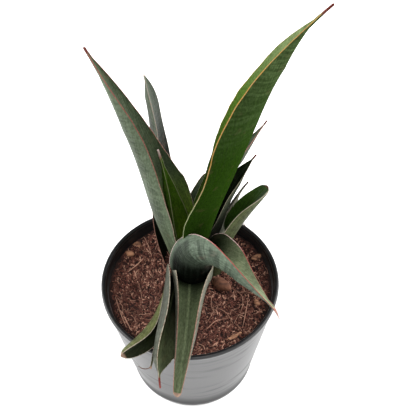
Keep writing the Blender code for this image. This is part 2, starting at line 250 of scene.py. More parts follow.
# The solid plant's leaves: foot of the midrib and lengths in millimetres, angles in degrees. heading, rise,
# roll and cup are read at even steps from foot to tip. tall_left_leaf and back_left_leaf are set lower and
# further back than their solids, and are 1.0 and 1.6 percent larger, so that they pass behind their
# neighbours.
LEAVES = (
    dict(name="centre_spear_leaf", foot=(-2.0, 16.5, 83.0), length=129, width=21, midrib=3.0,
         base_share=0.79, widest_at=0.38, taper=1.36, end_share=0.0, spine=9,
         heading=(170, 169, 168, 171, 173), rise=(84, 83, 84, 84, 82),
         roll=(-12, -17, -20, -11, -4), cup=(75, 73, 72, 69, 64)),
    dict(name="arching_front_leaf", foot=(3.5, 9.5, 84.5), length=141, width=49, midrib=3.5,
         base_share=0.37, widest_at=0.38, taper=1.41, end_share=0.0, spine=14,
         heading=(288, 288, 305, 319, 353), rise=(51, 76, 46, -15, -78),
         roll=(-2, 17, -36, -46, -13), cup=(74, 85, 97, 51, 27)),
    dict(name="tall_right_leaf", foot=(9.0, 15.5, 84.5), length=278, width=56, midrib=4.5,
         base_share=0.60, widest_at=0.60, taper=1.26, end_share=0.0, spine=10,
         heading=(-13, -34, -34, -24, 0), rise=(96, 77, 75, 74, 51),
         roll=(39, 18, 21, -1, -23), cup=(64, 61, 54, 49, 28)),
    dict(name="tall_left_leaf", foot=(-5.7, 20.9, 74.2), length=239.4, width=48.5, midrib=4.5,
         base_share=0.35, widest_at=0.38, taper=0.88, end_share=0.0, spine=5,
         heading=(173, 182, 195, 210, 223), rise=(89, 78, 81, 75, 72),
         roll=(-23, -22, -20, -26, -66), cup=(70, 75, 71, 71, 66)),
    dict(name="back_right_leaf", foot=(2.0, 32.5, 82.0), length=121, width=30, midrib=3.5,
         base_share=0.79, widest_at=0.48, taper=0.89, end_share=0.0, spine=3,
         heading=(68, 52, 29, 24, 23), rise=(77, 66, 53, 53, 56),
         roll=(-6, -17, -24, -19, -17), cup=(43, 50, 53, 44, 34)),
    dict(name="back_left_leaf", foot=(-8.9, 33.4, 70.2), length=175.8, width=26.4, midrib=3.5,
         base_share=1.18, widest_at=0.61, taper=2.16, end_share=0.0, spine=1,
         heading=(130, 122, 127, 143, 152), rise=(71, 76, 89, 89, 76),
         roll=(12, 12, 28, 34, 12), cup=(38, 30, 28, 29, 30)),
    dict(name="upper_side_leaf", foot=(10.0, 28.0, 81.0), length=115, width=30, midrib=3.5,
         base_share=0.82, widest_at=0.35, taper=1.55, end_share=0.0, spine=4,
         heading=(19, 9, 5, 2, 10), rise=(75, 78, 78, 68, 58),
         roll=(-37, -28, -14, -1, 28), cup=(70, 51, 25, 26, 22)),
    dict(name="thin_side_leaf", foot=(11.0, 28.5, 79.0), length=80, width=22, midrib=3.5,
         base_share=0.88, widest_at=0.39, taper=0.70, end_share=0.0, spine=7,
         heading=(36, 29, 23, 20, 10), rise=(62, 67, 69, 71, 57),
         roll=(-64, -63, -51, -25, -3), cup=(70, 75, 73, 66, 43)),
    dict(name="blunt_side_leaf", foot=(14.0, 14.5, 84.0), length=88, width=27, midrib=3.5,
         base_share=0.68, widest_at=0.59, taper=2.14, end_share=0.35, spine=0,
         heading=(-16, 3, 29, 37, 40), rise=(82, 75, 60, 41, 26),
         roll=(-73, -71, -47, -44, -30), cup=(50, 48, 52, 54, 2)),
    dict(name="front_hanging_leaf", foot=(0.0, 7.5, 83.0), length=110, width=44, midrib=3.5,
         base_share=0.87, widest_at=0.27, taper=0.70, end_share=0.12, spine=0,
         heading=(268, 270, 266, 261, 260), rise=(70, 37, 0, -20, -27),
         roll=(-8, -10, -4, -2, 5), cup=(77, 99, 111, 96, 68)),
    dict(name="front_left_leaf", foot=(-8.0, 6.5, 87.5), length=101, width=32, midrib=3.5,
         base_share=0.85, widest_at=0.58, taper=2.13, end_share=0.0, spine=8,
         heading=(265, 263, 261, 259, 281), rise=(61, 34, 2, -16, -22),
         roll=(-19, -39, -56, -60, -58), cup=(59, 67, 74, 60, 29)),
    dict(name="sliver_leaf", foot=(-7.0, 10.0, 84.0), length=87, width=13, midrib=2.6,
         base_share=0.76, widest_at=0.31, taper=1.63, end_share=0.0, spine=2,
         heading=(269, 263, 257, 248, 258), rise=(47, 29, 11, -5, -22),
         roll=(-18, -17, -24, -31, -18), cup=(59, 57, 56, 54, 43)),
    dict(name="low_left_leaf", foot=(-10.5, 11.0, 88.5), length=87, width=19, midrib=3.5,
         base_share=0.69, widest_at=0.70, taper=2.26, end_share=0.2, spine=0,
         heading=(269, 263, 248, 232, 208), rise=(33, 20, 14, 2, -16),
         roll=(-8, -27, -49, -79, -66), cup=(44, 50, 59, 78, 60)),
)

RING_SPACING = 1.6
FACE_STEPS = 25
MARGIN_SHARES = (0.95, 0.985)
EDGE_POINTS = 3
MARGIN_THICKNESS = 0.45
MARGIN_REACH = 0.1
LEAST_THICKNESS = 0.4
POINT_WIDTH = 0.7
TIP_LENGTH = 12.0
CONE_SLOPE = 2.6
THIN_POWER = 1.5
FULL_THICKNESS_AT = 0.45
LEAST_CUP = 3.0
BLUNT_LENGTH = 3.0
CALM_WIDTH = 8.0
WAVE_LENGTH = 11.0
WAVE_DEPTH = 0.018
TOOTH_LENGTH = 1.7
TOOTH_DEPTH = 0.35
VALLEY_DEPTH = 0.25
VALLEY_WIDTH = 0.05
BEAD_FULLNESS = 0.9


def blend_values(values, s):
    """Smooth curve through evenly spaced values, read at every s from 0 to 1."""
    v = np.asarray(values, float)
    last = len(v) - 1
    place = np.clip(s * last, 0, last - 1e-9)
    i = place.astype(int)
    t = place - i
    padded = np.concatenate([[2 * v[0] - v[1]], v, [2 * v[-1] - v[-2]]])
    a, b, c, d = padded[i], padded[i + 1], padded[i + 2], padded[i + 3]
    square = (2 * a - 5 * b + 4 * c - d) * t * t
    cube = (3 * b - a - 3 * c + d) * t ** 3
    return 0.5 * (2 * b + (c - a) * t + square + cube)


def blade_width(leaf, s):
    widest = leaf["widest_at"]
    rising = leaf["base_share"] + (1 - leaf["base_share"]) * np.sin(0.5 * np.pi * np.minimum(1, s / widest))
    blade_end = 1 - leaf["spine"] / leaf["length"]
    along = np.clip((s - widest) / (blade_end - widest), 0, 1)
    falling = leaf["end_share"] + (1 - leaf["end_share"]) * (1 - along ** leaf["taper"])
    point = (1 - s) * leaf["length"] / TIP_LENGTH
    cone = POINT_WIDTH + leaf["spine"] * CONE_SLOPE * np.clip(point, 0, 1) ** 1.3 / TIP_LENGTH
    return np.maximum(leaf["width"] * np.where(s < widest, rising, falling), cone)


def blade_frame(leaf, s):
    heading = np.radians(blend_values(leaf["heading"], s))
    rise = np.radians(blend_values(leaf["rise"], s))
    roll = np.radians(blend_values(leaf["roll"], s))[:, None]
    zero = np.zeros_like(s)
    level = np.stack([np.cos(heading), np.sin(heading), zero], 1)
    along = level * np.cos(rise)[:, None] + np.stack([zero, zero, np.sin(rise)], 1)
    up = np.stack([zero, zero, np.cos(rise)], 1) - level * np.sin(rise)[:, None]
    side = np.stack([np.sin(heading), -np.cos(heading), zero], 1)
    return along, side * np.cos(roll) - up * np.sin(roll), up * np.cos(roll) + side * np.sin(roll)


def midrib_path(leaf, s):
    along = blade_frame(leaf, s)[0]
    stride = leaf["length"] * np.diff(s)[:, None]
    walked = np.cumsum(0.5 * (along[1:] + along[:-1]) * stride, 0)
    return np.concatenate([[[0, 0, 0]], walked]) + np.array(leaf["foot"])


VALUE_NAMES = ("across_mm", "along_mm", "share", "edge_mm", "outer", "margin", "dry", "leaf")


def margin_noise(lengths, size, row, shift):
    """Noise along both margins: a value for each side at each length in millimetres."""
    return np.array([[noise.noise(Vector((v / size, side * row, shift))) for side in (-1, 1)]
                     for v in lengths])


def leaf_grid(leaf, seed, rough):
    """Closed rings round a blade: inner face, rounded margin bead, outer face, and the other margin."""
    length = leaf["length"]
    rings = int(length / RING_SPACING)
    s = np.linspace(0, 1, rings + 1)
    path = midrib_path(leaf, s)
    along, across, face = blade_frame(leaf, s)
    width = blade_width(leaf, s)
    cup = np.radians(np.maximum(blend_values(leaf["cup"], s), LEAST_CUP))
    radius = 0.5 * width / cup
    plump = np.clip(width / (FULL_THICKNESS_AT * leaf["width"]), 0.25, 1.0)
    blunt = np.ones_like(s)
    if leaf["spine"] == 0:
        left = (1 - s) * length
        blunt = np.sqrt(np.clip(1 - (1 - np.clip(left / BLUNT_LENGTH, 0, 1)) ** 2, 0.06, 1))
    q = np.linspace(-1, 1, FACE_STEPS)
    q = np.sort(np.concatenate([q] + [(-share, share) for share in MARGIN_SHARES]))
    points = len(q)
    calm = np.clip(width / CALM_WIDTH, 0, 1)[:, None]
    wave = 1 + WAVE_DEPTH * margin_noise(s * length, WAVE_LENGTH, 7.0, seed * 3.1) * calm
    tooth = rough * TOOTH_DEPTH * margin_noise(s * length, TOOTH_LENGTH, 9.0, seed * 5.3) * calm
    verts, values = [], {k: [] for k in VALUE_NAMES}
    for i in range(rings + 1):
        reach = cup[i] * blunt[i]
        low, high = reach * wave[i] + tooth[i] / radius[i]
        angle = np.where(q < 0, q * low, q * high)
        sideways = across[i] * (radius[i] * np.sin(angle))[:, None]
        inwards = face[i] * (radius[i] * (1 - np.cos(angle)))[:, None]
        spot = path[i] + sideways + inwards
        out = face[i] * np.cos(angle)[:, None] - across[i] * np.sin(angle)[:, None]
        thick = MARGIN_THICKNESS + (leaf["midrib"] - MARGIN_THICKNESS) * (1 - np.abs(q) ** THIN_POWER)
        thick = np.maximum(LEAST_THICKNESS, thick * plump[i]) * (0.35 + 0.65 * blunt[i])
        valley = VALLEY_DEPTH * np.exp(-(q / VALLEY_WIDTH) ** 2) * calm[i]
        inside = spot - out * valley[:, None]
        outside = spot - out * thick[:, None]
        ring = [inside]
        ring_q = [q]
        ring_outer = [np.zeros(points)]
        ring_margin = [np.zeros(points)]
        for end, sign in ((-1, 1), (0, -1)):
            a = inside[end]
            b = outside[end]
            middle = (a + b) / 2
            half = (a - b) / 2
            size = np.linalg.norm(half)
            tangent = sign * (across[i] * math.cos(angle[end]) + face[i] * math.sin(angle[end]))
            turn = np.linspace(0, np.pi, EDGE_POINTS + 2)[1:-1]
            if end == 0:
                turn = turn[::-1]
            bulge = tangent * (size * BEAD_FULLNESS * np.sin(turn))[:, None]
            bead = middle + half * np.cos(turn)[:, None] + bulge
            if end == -1:
                ring += [bead, outside[::-1]]
                ring_q += [np.full(EDGE_POINTS, sign * 1.0), q[::-1]]
                ring_outer += [np.full(EDGE_POINTS, 0.5), np.ones(points)]
                ring_margin += [np.ones(EDGE_POINTS), np.zeros(points)]
            else:
                ring += [bead]
                ring_q += [np.full(EDGE_POINTS, sign * 1.0)]
                ring_outer += [np.full(EDGE_POINTS, 0.5)]
                ring_margin += [np.ones(EDGE_POINTS)]
        ring = np.concatenate(ring)
        ring_q = np.concatenate(ring_q)
        ring_margin = np.concatenate(ring_margin)
        edge_distance = (1 - np.abs(ring_q)) * 0.5 * width[i]
        ring_margin = np.maximum(ring_margin, np.clip(1 - edge_distance / MARGIN_REACH, 0, 1))
        count = len(ring)
        verts.append(ring)
        values["across_mm"].append(ring_q * 0.5 * width[i])
        values["along_mm"].append(np.full(count, s[i] * length))
        values["edge_mm"].append(edge_distance)
        values["share"].append(np.full(count, s[i]))
        values["outer"].append(np.concatenate(ring_outer))
        values["margin"].append(ring_margin)
        tip_left = (1 - s[i]) * length
        dried = max(leaf["spine"] * 0.9, DRIED.get(leaf["name"], 1.2))
        values["dry"].append(np.full(count, max(0.0, 1.0 - tip_left / dried)))
        values["leaf"].append(np.full(count, seed * 7.31))
    verts = np.concatenate(verts)
    values = {k: np.concatenate(v) for k, v in values.items()}
    faces = ring_faces(rings + 1, count)
    faces.append(tuple(range(count))[::-1])
    faces.append(tuple(rings * count + k for k in range(count)))
    return verts, faces, values


def leaf_material(name, finish):
    """Waxy blade skin. finish holds the colours of both faces, of the margins and of the tip, the foot
    colours, which hold painted shade on some leaves and painted light on others, and a painted highlight near
    the edges.
    """
    material, board, shader = new_material(name, 0.5, finish["wax"])
    across = board.value("across_mm")
    along = board.value("along_mm")
    share = board.value("share")
    edge = board.value("edge_mm")
    grain = board.place(BLADE_GRAIN, Across=across, Along=along, Leaf=board.value("leaf"))
    bands, ribs, mottle, fleck = (grain.outputs[label] for label in ("Bands", "Ribs", "Mottle", "Fleck"))
    side = board.spread(board.value("outer"), 0.35, 0.65)
    foot = board.spread(along, *finish["foot_reach"])
    outer = finish["outer"]
    inner = finish["inner"]
    outside = board.blend(board.maths("MULTIPLY", mottle, 0.5), outer, tuple(c * 0.45 for c in outer))
    patch = board.maths("MULTIPLY", grain.outputs["Patch"], 0.55)
    outside = board.blend(patch, outside, tuple(c * 0.4 for c in outer))
    # Foot colours, blended in below foot_reach. On some leaves this is the base's own yellow-green. On others
    # it is painted shade (near-black) at the crowded base and under neighbours. On centre_spear_leaf and
    # tall_left_leaf it is painted light (raised brightness) in shaded crevices.
    outside = board.blend(foot, finish["outer_foot_hue_and_painted_shading"], outside)
    bloom = board.maths("MULTIPLY", board.maths("MULTIPLY", bands, foot), finish["bloom"])
    outside = board.blend(bloom, outside, tuple(c * 1.8 + 0.008 for c in outer))
    outside = board.blend(board.maths("MULTIPLY", ribs, 0.35), outside, tuple(c * 0.4 for c in outer))
    # Painted highlight: the outer face is lightened near the margins, where side light grazes the blade.
    near_edge = board.spread(edge, 1.5, finish["edge_reach"], 1.0, 0.0)
    edge_highlight_mask = board.maths("MULTIPLY", near_edge, finish["painted_edge_highlight"])
    edge_highlight_mask = board.maths("MULTIPLY", edge_highlight_mask, board.spread(across, *finish["highlight_side"]))
    outside = board.blend(edge_highlight_mask, outside, tuple(c * 2.2 + 0.014 for c in outer))
    inside = board.blend(board.maths("MULTIPLY", mottle, 0.45), inner, tuple(c * 1.9 + 0.004 for c in inner))
    # The same foot colours on the inner face: the base's own colour, painted shade and painted light,
    # according to the leaf.
    inside = board.blend(foot, finish["inner_foot_hue_and_painted_shading"], inside)
    inside = board.blend(board.maths("MULTIPLY", ribs, 0.4), inside, tuple(c * 0.45 for c in inner))
    # Lighter stripe along the midrib of the inner face: partly the pale midrib line, partly painted
    # highlight.
    middle = board.spread(board.maths("ABSOLUTE", across), 1.3, 0.2, 0.0, finish["midrib"])
    inside = board.blend(middle, inside, tuple(c * 2.0 + 0.012 for c in inner))
    skin = board.blend(side, inside, outside)
    strip_side = board.spread(across, *finish["strip_side"])
    strip = board.maths("MULTIPLY", board.spread(edge, finish["strip"], finish["strip"] * 0.7), strip_side)
    strip = board.maths("MULTIPLY", strip, board.spread(share, 0.95, 0.6))
    strip_colour = board.blend(board.maths("MULTIPLY", mottle, 0.7), STRIP_GREY, STRIP_GREEN)
    skin = board.blend(strip, skin, strip_colour)
    skin = board.blend(board.maths("MULTIPLY", fleck, 0.25), skin, (0.12, 0.125, 0.10))
    skin = board.blend(board.maths("MULTIPLY", grain.outputs["Fine"], 0.6), skin, FINE_SHADE, "MULTIPLY")
    line = board.blend(board.spread(share, *finish["margin_reach"]), finish["margin_foot"], finish["margin"])
    worn = board.maths("MULTIPLY", grain.outputs["Fray"], finish["fray"])
    line = board.blend(worn, line, finish["margin_worn"])
    rim = board.spread(board.value("margin"), 0.25, 0.6)
    skin = board.blend(rim, skin, line)
    dry = board.maths("ADD", board.value("dry"), board.maths("MULTIPLY", mottle, 0.15))
    dry = board.spread(dry, 0.12, 0.3)
    skin = board.blend(dry, skin, board.blend(board.spread(share, 0.94, 1.0), finish["tip"], finish["point"]))
    board.wire(skin, shader.inputs["Base Color"])
    rough = board.maths("ADD", 0.44, board.maths("MULTIPLY", ribs, 0.14))
    board.wire(board.maths("ADD", rough, board.maths("MULTIPLY", dry, 0.2)), shader.inputs["Roughness"])
    relief = board.maths("ADD", ribs, board.maths("MULTIPLY", bands, 0.6))
    board.wire(board.bump(relief, 0.5, 0.0003), shader.inputs["Normal"])
    return material


FINE_SHADE = (0.42, 0.46, 0.40)
STRIP_GREY = (0.150, 0.140, 0.115)
STRIP_GREEN = (0.060, 0.072, 0.046)
CREAM = (0.28, 0.25, 0.19)
WHITE_PINK = (0.55, 0.42, 0.40)
GREY_CREAM = (0.19, 0.19, 0.16)
PINK = (0.30, 0.13, 0.11)
DARK_RED = (0.13, 0.020, 0.018)
ROSE = (0.24, 0.05, 0.045)
ORANGE = (0.30, 0.155, 0.035)
PALE_GREEN = (0.20, 0.22, 0.11)
DULL_PINK = (0.17, 0.085, 0.065)
DULL_RED = (0.14, 0.03, 0.025)
RED_BROWN = (0.085, 0.018, 0.013)
PINK_BROWN = (0.25, 0.13, 0.10)
PALE_STRAW = (0.28, 0.19, 0.14)
DRY_BROWN = (0.085, 0.045, 0.026)
BOTH_SIDES = (-99.0, -98.0)
LEFT_ONLY = (1.0, -1.0)


# The edge settings give the strength, reach and side of a painted highlight near the margins.
# The two foot colours, reaching up to foot_reach, hold the base's own colour on some leaves, painted shade on
# others and painted light on a few.
def finish(outer, inner, outer_foot_hue_and_painted_shading, inner_foot_hue_and_painted_shading, foot_reach=(10.0, 70.0), margin=CREAM, margin_foot=CREAM,
           margin_worn=DRY_BROWN, margin_reach=(0.2, 0.7), fray=0.25, tip=RED_BROWN, point=RED_BROWN,
           bloom=0.4, painted_edge_highlight=0.2, edge_reach=4.0, midrib=0.4, strip=0.05, strip_side=LEFT_ONLY,
           wax=0.08, highlight_side=BOTH_SIDES):
    return dict(outer=outer, inner=inner, outer_foot_hue_and_painted_shading=outer_foot_hue_and_painted_shading, inner_foot_hue_and_painted_shading=inner_foot_hue_and_painted_shading, foot_reach=foot_reach,
                margin=margin, margin_foot=margin_foot, margin_worn=margin_worn, margin_reach=margin_reach,
                fray=fray, tip=tip, point=point, bloom=bloom, painted_edge_highlight=painted_edge_highlight, edge_reach=edge_reach,
                midrib=midrib, strip=strip, strip_side=strip_side, wax=wax, highlight_side=highlight_side)


LEAF_FINISH = {
    # centre_spear_leaf: its yellow-green feet are the base's own colour, made brighter as painted light where
    # the crevice is in shade.
    "centre_spear_leaf": finish((0.034, 0.078, 0.004), (0.044, 0.095, 0.005), (0.300, 0.480, 0.020),
                                (0.300, 0.480, 0.020), (0.0, 75.0), PALE_GREEN, PALE_GREEN,
                                tip=PINK_BROWN, point=WHITE_PINK, bloom=0.2, midrib=0.2),
    # arching_front_leaf: the near-black outer foot from 46 to 76 mm is painted shade, the dark hollow under
    # the arch. Its dark inner foot is painted shade too.
    "arching_front_leaf": finish((0.054, 0.072, 0.050), (0.105, 0.124, 0.070), (0.0003, 0.0005, 0.0003),
                                 (0.006, 0.012, 0.004), (46.0, 76.0), ROSE, WHITE_PINK, DARK_RED,
                                 (0.50, 0.62), 0.4, PINK_BROWN, WHITE_PINK, 0.9, painted_edge_highlight=0.4,
                                 edge_reach=5.0, midrib=0.8),
    # tall_right_leaf: its strong, wide edge setting paints a highlight down one side of the blade towards the
    # keel, where side light grazes it.
    "tall_right_leaf": finish((0.046, 0.072, 0.025), (0.112, 0.146, 0.064), (0.013, 0.036, 0.002),
                              (0.050, 0.105, 0.008), (150.0, 262.0), ORANGE, PALE_GREEN, CREAM,
                              (0.35, 0.6), 0.3, DULL_PINK, RED_BROWN, 0.6, painted_edge_highlight=0.9, edge_reach=70.0,
                              wax=0.0, highlight_side=(4.0, -13.0)),
    # tall_left_leaf: its yellow-green inner foot is the base's own colour, made brighter as painted light in
    # the shaded crevice.
    "tall_left_leaf": finish((0.056, 0.074, 0.043), (0.046, 0.062, 0.033), (0.105, 0.132, 0.075),
                             (0.340, 0.560, 0.025), (0.0, 110.0), ROSE, CREAM, DARK_RED, (0.3, 0.75), 0.6,
                             ROSE, RED_BROWN, 0.6, painted_edge_highlight=0.5, edge_reach=6.0),
    # back_right_leaf: the dark feet are painted shade at the crowded base.
    "back_right_leaf": finish((0.058, 0.066, 0.044), (0.028, 0.040, 0.020), (0.012, 0.018, 0.008),
                              (0.008, 0.014, 0.004), margin=PINK, margin_foot=CREAM, bloom=0.3),
    # back_left_leaf: the near-black feet, reaching 95 to 172 mm, are painted shade where the leaf runs behind
    # tall_left_leaf.
    "back_left_leaf": finish((0.034, 0.043, 0.027), (0.034, 0.043, 0.028), (0.003, 0.004, 0.002),
                             (0.003, 0.004, 0.002), (95.0, 172.0), GREY_CREAM, PINK_BROWN, PINK_BROWN,
                             fray=0.5, tip=PINK_BROWN, point=WHITE_PINK, bloom=0.5, midrib=0.8,
                             painted_edge_highlight=0.4),
    # upper_side_leaf: the near-black inner face and inner foot are painted shade in its channel.
    "upper_side_leaf": finish((0.040, 0.046, 0.030), (0.008, 0.012, 0.006), (0.090, 0.095, 0.078),
                              (0.003, 0.005, 0.002), margin=CREAM, margin_foot=GREY_CREAM, tip=PINK_BROWN,
                              bloom=0.3, wax=0.0),
    "thin_side_leaf": finish((0.150, 0.155, 0.120), (0.180, 0.185, 0.145), (0.180, 0.182, 0.145),
                             (0.200, 0.200, 0.165), margin=CREAM, margin_foot=PINK_BROWN, tip=DRY_BROWN,
                             point=DRY_BROWN, bloom=0.5),
    "blunt_side_leaf": finish((0.054, 0.064, 0.024), (0.022, 0.056, 0.005), (0.056, 0.066, 0.030),
                              (0.022, 0.046, 0.005), margin=CREAM, margin_foot=CREAM, tip=DRY_BROWN,
                              point=DRY_BROWN, bloom=0.4),
    # front_hanging_leaf: the darker inner foot from 20 to 64 mm is painted shade under arching_front_leaf.
    "front_hanging_leaf": finish((0.110, 0.118, 0.090), (0.074, 0.092, 0.046), (0.110, 0.118, 0.090),
                                 (0.020, 0.028, 0.013), (20.0, 64.0), PINK_BROWN, CREAM, DRY_BROWN,
                                 (0.3, 0.6), 0.6, DRY_BROWN, PALE_STRAW, 0.5, midrib=0.6, strip=3.4,
                                 strip_side=BOTH_SIDES),
    # front_left_leaf: the near-black inner foot from 40 to 80 mm is painted shade in the gap at its base.
    "front_left_leaf": finish((0.052, 0.056, 0.042), (0.038, 0.047, 0.020), (0.054, 0.058, 0.045),
                              (0.003, 0.004, 0.002), (40.0, 80.0), CREAM, CREAM, DRY_BROWN, fray=0.7,
                              tip=RED_BROWN, point=DULL_RED, bloom=0.7),
    # sliver_leaf: the dark inner foot is painted shade at its base.
    "sliver_leaf": finish((0.050, 0.054, 0.036), (0.026, 0.034, 0.014), (0.050, 0.054, 0.038),
                          (0.008, 0.010, 0.005), margin=GREY_CREAM, margin_foot=GREY_CREAM, fray=0.7,
                          tip=DRY_BROWN, point=PALE_STRAW, bloom=0.5),
    # low_left_leaf: the near-black inner face and inner foot are painted shade in its channel.
    "low_left_leaf": finish((0.070, 0.076, 0.027), (0.010, 0.014, 0.004), (0.054, 0.064, 0.027),
                            (0.003, 0.005, 0.002), margin=CREAM, margin_foot=GREY_CREAM, fray=0.5,
                            tip=DRY_BROWN, point=PALE_STRAW, bloom=0.4),
}
DRIED = {"front_hanging_leaf": 3.0, "low_left_leaf": 2.0}
ROUGH_MARGINS = {"front_hanging_leaf": 0.8, "front_left_leaf": 1.0, "sliver_leaf": 1.0, "low_left_leaf": 0.6}


def boxes_meet(first, second):
    """True if the two meshes' upright boxes overlap."""
    a = np.array([v.co for v in first.data.vertices])
    b = np.array([v.co for v in second.data.vertices])
    return bool(np.all(a.min(0) <= b.max(0)) and np.all(b.min(0) <= a.max(0)))


def keep_largest_island(mesh):
    """Drops the small offcuts that a cut leaves beside the main body."""
    bm = bmesh.new()
    bm.from_mesh(mesh)
    unseen = set(bm.verts)
    islands = []
    while unseen:
        stack = [unseen.pop()]
        island = []
        while stack:
            vert = stack.pop()
            island.append(vert)
            for edge in vert.link_edges:
                other = edge.other_vert(vert)
                if other in unseen:
                    unseen.discard(other)
                    stack.append(other)
        islands.append(island)
    islands.sort(key=len)
    for island in islands[:-1]:
        bmesh.ops.delete(bm, geom=island, context="VERTS")
    bm.to_mesh(mesh)
    bm.free()


def build_leaves():
    """Inner leaves stay whole, and each outer leaf is cut where it would run through one of them."""
    built = []
    for order, leaf in enumerate(LEAVES):
        name = leaf["name"]
        verts, faces, values = leaf_grid(leaf, order + 1, ROUGH_MARGINS.get(name, 0.15))
        material = leaf_material(name + "_skin", LEAF_FINISH[name])
        blade = add_piece(name + "_blade", verts, faces, material, (name,), values, "CORNER")
        built.append(blade)
    finished = []
    for order, blade in enumerate(built):
        for inner in built[:order]:
            if boxes_meet(blade, inner):
                cut = blade.modifiers.new("cut", "BOOLEAN")
                cut.operation = "DIFFERENCE"
                cut.solver = "MANIFOLD"
                cut.object = inner
        view = bpy.context.evaluated_depsgraph_get()
        finished.append(bpy.data.meshes.new_from_object(blade.evaluated_get(view)))
    for blade, mesh in zip(built, finished):
        blade.modifiers.clear()
        rough_cut = blade.data
        keep_largest_island(mesh)
        mesh.set_sharp_from_angle(angle=math.radians(50))
        blade.data = mesh
        bpy.data.meshes.remove(rough_cut)


# ------------------------------------------------------------------ pot

POT_SEGMENTS = 192
POT_PROFILE = (
    # radius, height, and finish: 0 for the dark grey outside, 1 for the black inside and rim
    (0.0, 0.4, 0.0), (20.0, 0.4, 0.0), (36.0, 0.4, 0.0), (38.0, 0.0, 0.0), (42.3, 0.0, 0.0),
    (43.3, 0.5, 0.0), (43.7, 1.6, 0.0), (44.3, 5.0, 0.0), (44.1, 5.6, 0.0), (46.2, 18.0, 0.0),
    (49.4, 38.0, 0.0), (52.8, 58.0, 0.0), (56.1, 78.0, 0.0), (58.6, 93.0, 0.0), (59.1, 95.6, 0.0),
    (59.3, 96.0, 0.0), (59.9, 96.3, 0.0), (60.0, 97.2, 0.0), (59.95, 98.0, 0.0), (59.6, 98.6, 0.0),
    (59.1, 98.9, 0.6), (58.4, 99.0, 1.0), (57.4, 98.8, 1.0), (57.0, 98.3, 1.0), (56.95, 97.0, 1.0),
    (57.1, 96.2, 1.0), (56.6, 95.6, 1.0), (56.2, 94.8, 1.0), (55.9, 92.5, 1.0), (54.8, 86.0, 1.0),
    (53.5, 78.0, 1.0), (44.0, 20.0, 1.0), (42.4, 2.2, 1.0), (30.0, 2.0, 1.0), (0.0, 2.0, 1.0),
)


def pot_material():
    material, board, shader = new_material("pot_plastic", 0.4, 0.3)
    shader.inputs["Sheen Weight"].default_value = 0.12
    shader.inputs["Sheen Roughness"].default_value = 0.3
    inside = board.spread(board.value("inside"), 0.3, 0.7)
    where = board.add("ShaderNodeTexCoord").outputs["Object"]
    stretch = board.add("ShaderNodeMapping")
    board.wire(where, stretch.inputs["Vector"])
    stretch.inputs["Scale"].default_value = (12.0, 12.0, 110.0)
    scuffs = board.place(PATCHY_DUST, Where=stretch.outputs[0], Scale=1.6)
    dust = board.place(PATCHY_DUST, Where=where, Scale=160.0)
    tone = board.cloud(where, 24.0, 3.0)
    grey = board.blend(tone, (0.014, 0.014, 0.0142), (0.024, 0.024, 0.0243))
    grey = board.blend(board.maths("MULTIPLY", scuffs.outputs[0], 0.35), grey, (0.055, 0.055, 0.0555))
    soiled = board.maths("MULTIPLY", dust.outputs[0], 0.25)
    black = board.blend(soiled, (0.0035, 0.0035, 0.004), (0.040, 0.030, 0.026))
    board.wire(board.blend(inside, grey, black), shader.inputs["Base Color"])
    rough = board.maths("ADD", 0.34, board.maths("MULTIPLY", scuffs.outputs[0], 0.2))
    board.wire(rough, shader.inputs["Roughness"])
    board.wire(board.bump(tone, 0.25, 0.0004), shader.inputs["Normal"])
    return material


def build_pot():
    verts, inside = [], []
    for radius, height, zone in POT_PROFILE:
        for j in range(POT_SEGMENTS):
            angle = math.tau * j / POT_SEGMENTS
            r = max(radius, 0.4)
            verts.append((r * math.cos(angle), r * math.sin(angle), height))
            inside.append(zone)
    faces = ring_faces(len(POT_PROFILE), POT_SEGMENTS)
    faces.append(tuple(range(POT_SEGMENTS))[::-1])
    faces.append(tuple(len(verts) - POT_SEGMENTS + k for k in range(POT_SEGMENTS)))
    add_piece("pot", verts, faces, pot_material(), ("nursery_pot",), {"inside": inside})


# ------------------------------------------------------------------ soil

FIBRE_REACH = 54.2
BANK_START = 34.0
BANK_WIDTH = 18.0
BANK_RISE = 4.0
BED_RINGS = 110
BED_SEGMENTS = 260
BED_RADIUS = 55.4
BED_SIDES = ((54.4, 82.0), (43.0, 20.0), (41.6, 2.6))
GRANULES = 9000
SHORT_FIBRES = 300
LONG_FIBRES = 36


def soil_height(x, y):
    """Height of the soil's surface in millimetres: lumps and clods, rising towards the pot's wall."""
    place = Vector((x, y, 0.0))
    lumps = noise.noise(place / 14.0) * 1.2 + noise.noise(place / 5.0 + Vector((9, 2, 4))) * 0.9
    clods = abs(noise.noise(place / 2.2 + Vector((3, 8, 1)))) * 1.3
    near_crown = max(0.0, 1.0 - math.hypot(x - CROWN_X, y - CROWN_Y) / 20.0)
    bank = min(1.0, max(0.0, math.hypot(x, y) - BANK_START) / BANK_WIDTH)
    return SOIL_HEIGHT - 0.6 + lumps + clods * 0.8 + near_crown * 1.5 + BANK_RISE * bank


def soil_material(name, dark, mid, light):
    material, board, shader = new_material(name, 0.9, 0.25)
    where = board.add("ShaderNodeTexCoord").outputs["Object"]
    tint = board.value("tint")
    clump = board.cloud(where, 140.0, 4.0, 0.6)
    speck = board.cloud(where, 900.0, 3.0, 0.6)
    base = board.blend(board.spread(tint, 0.0, 0.5), dark, mid)
    base = board.blend(board.spread(tint, 0.6, 1.0), base, light)
    clumps = board.maths("MULTIPLY", board.spread(clump, 0.4, 0.7), 0.5)
    base = board.blend(clumps, base, tuple(c * 0.22 for c in mid))
    specks = board.maths("MULTIPLY", board.spread(speck, 0.5, 0.75), 0.35)
    base = board.blend(specks, base, tuple(c * 1.6 for c in mid))
    board.wire(base, shader.inputs["Base Color"])
    board.wire(board.maths("ADD", 0.75, board.maths("MULTIPLY", speck, 0.2)), shader.inputs["Roughness"])
    board.wire(board.bump(speck, 0.6, 0.0004), shader.inputs["Normal"])
    return material


